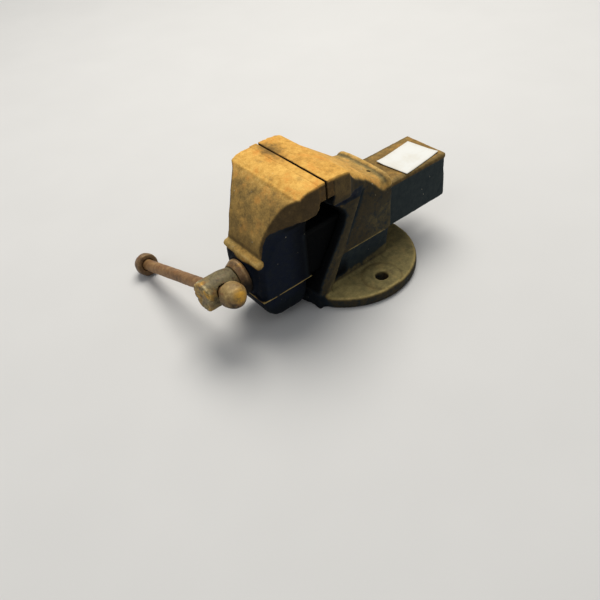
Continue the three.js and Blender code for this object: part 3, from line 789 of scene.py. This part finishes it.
def slide_layers(skin, side, up):
    """The slide: dull paint on its sides, rust on top, and painted shade where it is in the throat.
    """
    x, y, z = skin.points.T
    across = np.abs(x)
    slide = ramp(-40, -36, y) * ramp(SLIDE_TOP + 1, SLIDE_TOP, z)
    edge = slide * ramp(12.3, 13.5, across) * ramp(SLIDE_TOP - 1, SLIDE_TOP - 0.4, z)
    under_cheeks = ramp(CHEEK_BOTTOM + 2, CHEEK_BOTTOM - 2, z)
    in_throat = ramp(-39, -36.8, y) * ramp(-12.5, -15, y) * under_cheeks
    return [
        (side * slide, 0.15, 0.12, 0.9, 0.0),
        (side * slide * ramp(SLIDE_TOP - 2.8, SLIDE_TOP - 2.2, z), 0.8, 0.26, 0.4, 0.0),
        (up * slide, 0.95, 0.48, 0.35, 0.0),
        (up * slide * hump(across, 11.6, 1.8), 1.0, 0.52, 0.6, 0.0),
        (edge, 1.0, 0.36, 0.6, 0.0),
        # Painted shade in the throat, under the cheeks.
        (in_throat, 0.0, 0.0, 0.5, 0.95),
    ]


def belly_layers(skin, patch):
    """The belly: a pale, broken line along its ledge, partly rubbed wear and partly a painted
    highlight, and painted shade low down.
    """
    x, y, z = skin.points.T
    outwards = np.maximum(np.abs(x), -49 - y)
    ledge = ramp(15.3, 15.7, outwards) * hump(z, LEDGE, 0.9)
    return [
        # Pale line on the ledge's thin rim: rubbed wear and a painted highlight.
        (ledge * ramp(-2.8, -0.8, patch), 0.95, 0.84, 1.0, 0.0),
        # Painted shade low on the belly, towards the bench.
        (ramp(LEDGE - 3, LEDGE - 9, z), 0.1, 0.1, 0.4, 0.55),
    ]


def moving_jaw():
    """The moving casting: front jaw, lip, belly and slide."""
    skin = skin_of("moving_jaw", CASTING_GRAIN)
    skin.smooth(3)
    reach_to_plate(skin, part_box("front_jaw_plate")[0][1] / MM, 1)
    shape_front_face(skin)
    normals = skin.broad_normals()
    roughen(skin, lumps=0.12, pits=0.1, chips=0.08, offset=21.0)
    side = sideways(normals, 0.2, 0.36)
    up = facing(normals, "+z", 0.25, 0.6)
    patch = wander(skin, 7, 3, 37)
    z = skin.points[:, 2]
    blend_fields(skin, [
        (np.ones(len(z)), 0.45, 0.1, 0.3, 0.3),
        *jaw_side_layers(skin, normals, side, patch),
        *jaw_face_layers(skin, side, patch),
        *lip_layers(skin, normals, side),
        *slide_layers(skin, side, up),
        *belly_layers(skin, patch),
        (up * ramp(72.5, 74.5, z), 1.0, 0.88, 0.0, 0.0),
        (ramp(JAW_TOP - 1.6, JAW_TOP - 0.9, z), 1.0, 0.88, 0.0, 0.0),
        worn_top_layer(skin, 0.42, 0.15),
    ])
    material = painted_iron("moving_casting", NAVY, WORN_NAVY)
    piece_from(skin, "moving_jaw_casting", "jaw", "moving_jaw", material)


def hatch_face(skin, face_sign):
    """Cuts crossing grooves into a jaw plate's working face."""
    x, _, z = skin.points.T
    face = ramp(0.7, 0.95, face_sign * skin.normals()[:, 1])
    inset = ramp(0.2, 1.0, z.max() - z) * ramp(0.2, 1.0, z - z.min())
    grooves = [np.abs(np.mod((x + sign * z) / HATCH, 1) - 0.5) * 2 for sign in (1, -1)]
    depth = HATCH_DEPTH * np.maximum(ramp(0.62, 1, grooves[0]), ramp(0.62, 1, grooves[1]))
    skin.push(-depth * face * inset)


def jaw_plate(node, body, face_sign):
    """A jaw plate whose working face is cut with a diamond pattern of grooves."""
    skin = skin_of(node, PLATE_GRAIN)
    skin.smooth(2, 0.5)
    y = skin.points[:, 1]
    middle = (y.max() + y.min()) / 2
    back = ramp(0, 1.2, -face_sign * (y - middle))
    skin.points[:, 1] -= face_sign * CLOSE_SEAM * back
    hatch_face(skin, face_sign)
    roughen(skin, lumps=0.05, pits=0.05, chips=0.0, offset=40.0 + face_sign)
    z = skin.points[:, 2]
    normals = skin.normals()
    face = ramp(0.3, 0.6, face_sign * normals[:, 1])
    blend_fields(skin, [
        (np.ones(len(z)), 1.0, 0.2, 0.3, 0.3),
        (sideways(normals), 0.9, 0.26, 0.25, 0.0),
        (facing(normals, "+z", 0.3, 0.7), 1.0, 0.84, 0.0, 0.0),
        (ramp(JAW_TOP - 1.4, JAW_TOP - 0.8, z) * (1 - face), 1.0, 0.84, 0.0, 0.0),
        worn_top_layer(skin, 0.44, 0.2),
    ])
    material = painted_iron(node + "_steel", NAVY, WORN_NAVY)
    piece_from(skin, node + "_hatched", body, node, material)


# ---------------------------------------------------------------- screw, bar and small parts

STEEL_GRAIN = 0.36  # the voxel size of the handled pieces' skins, in mm
HEAD_REAR_Y = -72.0
PITCH = 3.175  # eight threads to the inch
THREAD_DEPTH = 1.4
THREAD_START = -43.0  # its place along y
THREAD_RADIUS = 6.25


def steel_piece(skin, name, body, node, palette, gold, orange=0.0, shade_and_grime=0.0):
    """Finishes a steel skin. gold, orange and grime are numbers or one value for each point."""
    for field, value in (("gold", gold), ("orange", orange), ("shade_and_grime", shade_and_grime)):
        skin.fields[field] = np.zeros(len(skin.points)) + value
    piece_from(skin, name, body, node, worn_steel(name + "_metal", *palette))


def dent(skin, depth, seed):
    """Small dents, and smaller pits in them."""
    skin.push(depth * roughness_field(skin.points, 4.5, 3, seed))
    skin.push(-0.6 * depth * ramp(0.15, 0.7, roughness_field(skin.points, 1.5, 2, seed + 5)))


def handled(node, name, body, slot, palette, voxel, seed, gold=0.45, dents=0.1, rounds=2):
    """A steel piece with small dents and a handled patina."""
    skin = skin_of(node, voxel)
    skin.smooth(rounds, 0.5)
    dent(skin, dents, seed)
    steel_piece(skin, name, body, node, palette, gold)


def corners_mm(node):
    """The lowest and highest corner of a node, in mm."""
    return [np.array(corner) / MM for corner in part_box(node)]


def cut_thread(skin, axis_z):
    """Cuts a right-hand thread into the screw's plain shank."""
    x, y, z = skin.points.T
    radius = np.hypot(x, z - axis_z)
    on_shank = ramp(THREAD_RADIUS - 0.2, THREAD_RADIUS, radius)
    threaded = ramp(THREAD_START, THREAD_START + 2.5, y) * on_shank
    turn = np.arctan2(z - axis_z, x) / (2 * math.pi)
    phase = np.abs(np.mod(y / PITCH + turn, 1) - 0.5) * 2
    cut = THREAD_DEPTH * ramp(0.42, 0.62, phase) * threaded
    shrink = (radius - cut) / np.maximum(radius, 0.1)
    skin.points[:, 0] = x * shrink
    skin.points[:, 2] = axis_z + (z - axis_z) * shrink


def lead_screw():
    """The threaded screw, battered on the end of its head, which is lighter on its upper side as
    rust and painted light, with painted shade under the head's rear.
    """
    skin = skin_of("lead_screw", STEEL_GRAIN)
    low, high = corners_mm("lead_screw")
    skin.smooth(2, 0.5)
    cut_thread(skin, (low[2] + high[2]) / 2)
    dent(skin, 0.1, 51.0)
    y = skin.points[:, 1]
    end = ramp(low[1] + 3.2, low[1] + 1.2, y)
    battered = np.maximum(end, 0.35 * ramp(low[1] + 7, low[1] + 3, y))
    skin.push(-0.75 * battered * ramp(-0.1, 0.7, roughness_field(skin.points, 3.0, 3, 57)))
    height = skin.normals()[:, 2]
    upward = ramp(-0.2, 0.8, height)
    blotches = ramp(-0.3, 0.4, roughness_field(skin.points, 4, 2, 63))
    steel_piece(
        skin,
        "lead_screw_threaded",
        "screw",
        "lead_screw",
        HEAD_STEEL,
        # Rust and painted light: the battered end is lighter on its upper side.
        gold=0.29 + 0.52 * battered * upward,
        orange=battered * blotches * (0.25 + 0.75 * upward),
        # Painted shade under the head's rear.
        shade_and_grime=0.75 * hump(y, HEAD_REAR_Y, 2.0) * ramp(0.2, -0.6, height),
    )


def bar_knob(side, seed, palette, tone, patch=0.0):
    """A knob of the bar, dented, with painted light on top, painted shade below and on its inner
    face, and a yellow patch if patch isn't 0.
    """
    node = f"bar_knob_{side}"
    skin = skin_of(node, STEEL_GRAIN)
    low, high = corners_mm(node)
    middle = (low + high) / 2
    skin.smooth(6, 0.5)
    dent(skin, 0.22, seed)
    normals = skin.normals()
    upward = normals[:, 2]
    inward = normals[:, 0] if side == "left" else -normals[:, 0]
    spot = np.array([high[0] - 1.4, middle[1] + 0.8, middle[2] + 2.6])
    steel_piece(
        skin,
        f"{side}_knob",
        "bar",
        node,
        palette,
        # Painted light: lighter towards the top.
        gold=tone + 0.32 * ramp(-0.6, 0.9, upward),
        orange=patch * ramp(4.8, 1.0, np.linalg.norm(skin.points - spot, axis=1)),
        # Painted shade on the inner face and underneath.
        shade_and_grime=np.maximum(0.1 * ramp(0.6, 0.9, inward), 0.45 * ramp(-0.2, -0.9, upward)),
    )


def thrust_collar():
    """The reddish ring behind the screw's head, with a painted highlight on its upper front edge
    and painted shade over its lower half.
    """
    skin = skin_of("thrust_collar", 0.28)
    skin.smooth(2, 0.5)
    dent(skin, 0.1, 71.0)
    low, high = corners_mm("thrust_collar")
    x, y, z = skin.points.T
    height = z - (low[2] + high[2]) / 2
    front_edge = hump(y, low[1] + 3.0, 0.9) * ramp(8.4, 8.8, np.hypot(x, height))
    blotches = ramp(0.1, 0.6, roughness_field(skin.points, 2.2, 3, 73))
    steel_piece(
        skin,
        "thrust_collar_ring",
        "screw",
        "thrust_collar",
        RED_STEEL,
        # Painted highlight on the upper front edge.
        gold=0.68 + 0.4 * front_edge * ramp(2, 6, height),
        orange=0.35 * blotches * ramp(1, 5, height),
        # Painted shade over the lower half.
        shade_and_grime=0.94 * ramp(6.0, -0.5, height),
    )


def slotted_screw(node, body, face_sign):
    """A countersunk screw with a slot across its head."""
    slot_depth = 0.9
    skin = skin_of(node, 0.2)
    skin.smooth(2, 0.5)
    low, high = corners_mm(node)
    _, y, z = skin.points.T
    face = high[1] if face_sign > 0 else low[1]
    in_slot = ramp(0.62, 0.45, np.abs(z - (low[2] + high[2]) / 2))
    near_face = ramp(0.5, 0.3, np.abs(y - face))
    skin.points[:, 1] -= face_sign * slot_depth * in_slot * near_face
    dent(skin, 0.03, 90.0)
    steel_piece(skin, node + "_slotted", body, node, GREY_STEEL, 0.4)


def small_parts():
    """The plates' screws, the nut with its bolt, and the spring's parts."""
    grey = dict(slot="bare_steel", palette=GREY_STEEL, dents=0.03)
    for side in ("left", "right"):
        slotted_screw(f"rear_plate_screw_{side}", "body", -1)
        slotted_screw(f"front_plate_screw_{side}", "jaw", 1)
    handled("nut_bolt", "nut_bolt_hex", "body", voxel=0.3, seed=101.0, **grey)
    handled("nut_bolt_washer", "nut_washer", "body", voxel=0.25, seed=104.0, **grey)
    handled("screw_nut", "screw_nut_block", "body", "dark_casting", GREY_STEEL, 0.4, seed=107.0)
    handled("screw_spring", "screw_spring_coil", "screw", voxel=0.22, seed=110.0, **grey)
    handled("spring_washer", "spring_washer_ring", "screw", voxel=0.25, seed=113.0, **grey)
    handled("split_pin", "split_pin_steel", "screw", voxel=0.2, seed=116.0, **grey)


# ---------------------------------------------------------------- label

# The label's sheet, in mm and degrees.
SHEET_WIDTH = 20.0
SHEET_LENGTH = 27.2
SHEET_THICKNESS = 0.12
SHEET_TURN = 7
SHEET_SHIFT = (0.4, -1.4, 0)  # from the middle of the label's place
SHEET_GAP = 0.02  # over the slide


def sheet_lift(u, v):
    """How high the sheet's front edge and two of its corners curl up, in mm."""
    front_edge = max(0, 1 - v / 0.3) ** 2
    near_corner = max(0, 1 - (u + v) / 0.35) ** 2
    far_corner = max(0, 1 - (2 - u - v) / 0.4) ** 2
    waves = 0.05 * noise.noise(Vector((u * 3, v * 3, 4)))
    return 0.2 * front_edge + 0.6 * near_corner + 0.5 * far_corner + waves


def label_mesh():
    """The sheet as a fine grid of faces, with the dirt along its edges as a field."""
    low, high = corners_mm("paper_label")
    middle = (low + high) / 2 + SHEET_SHIFT
    turn = Matrix.Rotation(math.radians(SHEET_TURN), 2)
    columns, rows = 24, 30
    vertices, faces, dirt = [], [], []
    for row in range(rows + 1):
        for column in range(columns + 1):
            u = column / columns
            v = row / rows
            flat = turn @ Vector(((u - 0.5) * SHEET_WIDTH, (v - 0.5) * SHEET_LENGTH))
            height = low[2] + SHEET_GAP + sheet_lift(u, v)
            point = (middle[0] + flat.x, middle[1] + flat.y, height)
            vertices.append(tuple(value * MM for value in point))
            dirt.append(max(0, 1 - 9 * min(u, v, 1 - u, 1 - v)))
    for row in range(rows):
        for column in range(columns):
            a = row * (columns + 1) + column
            faces.append((a, a + 1, a + columns + 2, a + columns + 1))
    mesh = bpy.data.meshes.new("paper_label_sheet")
    mesh.from_pydata(vertices, [], faces)
    attribute = mesh.attributes.new("dirt", "FLOAT", "POINT")
    attribute.data.foreach_set("value", dirt)
    mesh.polygons.foreach_set("use_smooth", np.ones(len(faces), bool))
    return mesh


def paper_label():
    """A thin sheet lying on the slide, with its front edge and two corners lifted."""
    mesh = label_mesh()
    mesh.materials.append(label_paper())
    piece = bpy.data.objects.new("paper_label_sheet", mesh)
    bpy.context.scene.collection.objects.link(piece)
    solidify = piece.modifiers.new("thickness", "SOLIDIFY")
    solidify.thickness = SHEET_THICKNESS * MM
    solidify.offset = 1
    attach(piece, "jaw")
    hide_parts("paper_label")


# ---------------------------------------------------------------- stage

FLOOR_REACH = 2.5  # from the middle to each side, in m

CAMERA_PLACE = (0.2182, -0.1838, 0.2300)
CAMERA_YAW = 55.5  # degrees round to the vise's right, from the view at its handle's end
CAMERA_PITCH = 41.8  # degrees down
CAMERA_ROLL = 7.0  # degrees
CAMERA_LENS = 39.74  # mm, on a 36 mm sensor


def floor():
    """A pale floor at the bench's height."""
    mesh = bpy.data.meshes.new("floor")
    reach = FLOOR_REACH
    corners = [(-reach, -reach, 0), (reach, -reach, 0), (reach, reach, 0), (-reach, reach, 0)]
    mesh.from_pydata(corners, [], [(0, 1, 2, 3)])
    mesh.materials.append(pale_floor())
    plane = bpy.data.objects.new("floor", mesh)
    bpy.context.scene.collection.objects.link(plane)


def area_light(name, place, target, size, power, colour):
    """A round soft light of that size in m and power in W, turned to the target."""
    data = bpy.data.lights.new(name, "AREA")
    data.shape = "DISK"
    data.size = size
    data.energy = power
    data.color = colour
    light = bpy.data.objects.new(name, data)
    light.location = place
    light.rotation_euler = (Vector(target) - Vector(place)).to_track_quat("-Z", "Y").to_euler()
    bpy.context.scene.collection.objects.link(light)


def lights():
    """A soft light from above, a little behind and to the left, and a weak one from the front."""
    middle = (0, -0.02, 0.03)
    warm, cool = (1.0, 0.97, 0.92), (0.96, 0.98, 1.0)
    area_light("key", (-0.3, 0.28, 0.95), middle, size=0.8, power=10.0, colour=warm)
    area_light("fill", (0.1, -0.9, 0.9), middle, size=0.9, power=1.6, colour=cool)
    world = bpy.data.worlds.new("studio")
    world.use_nodes = True
    background = world.node_tree.nodes["Background"]
    background.inputs["Color"].default_value = (0.92, 0.95, 1.0, 1)
    background.inputs["Strength"].default_value = 0.3
    bpy.context.scene.world = world
    bpy.context.scene.view_settings.view_transform = "Standard"


def camera():
    """Looks at the vise from its right front, down, and tilted a little."""
    data = bpy.data.cameras.new("camera")
    data.sensor_width = 36
    data.lens = CAMERA_LENS
    data.clip_start = 0.01
    eye = bpy.data.objects.new("camera", data)
    yaw = Matrix.Rotation(math.radians(CAMERA_YAW), 4, "Z")
    pitch = Matrix.Rotation(math.pi / 2 - math.radians(CAMERA_PITCH), 4, "X")
    roll = Matrix.Rotation(-math.radians(CAMERA_ROLL), 4, "Z")
    eye.matrix_world = Matrix.Translation(CAMERA_PLACE) @ yaw @ pitch @ roll
    bpy.context.scene.collection.objects.link(eye)
    bpy.context.scene.camera = eye


camera()
floor()
lights()
fixed_body()
moving_jaw()
jaw_plate("rear_jaw_plate", "body", -1)
jaw_plate("front_jaw_plate", "jaw", 1)
lead_screw()
thrust_collar()
handled(
    "tommy_bar",
    "tommy_bar_rod",
    "bar",
    "worn_steel",
    BROWN_STEEL,
    STEEL_GRAIN,
    seed=74.0,
    gold=0.48,
    rounds=16,
)
bar_knob("left", 77.0, RED_STEEL, 0.42)
bar_knob("right", 80.0, KNOB_STEEL, 0.16, patch=0.9)
small_parts()
paper_label()
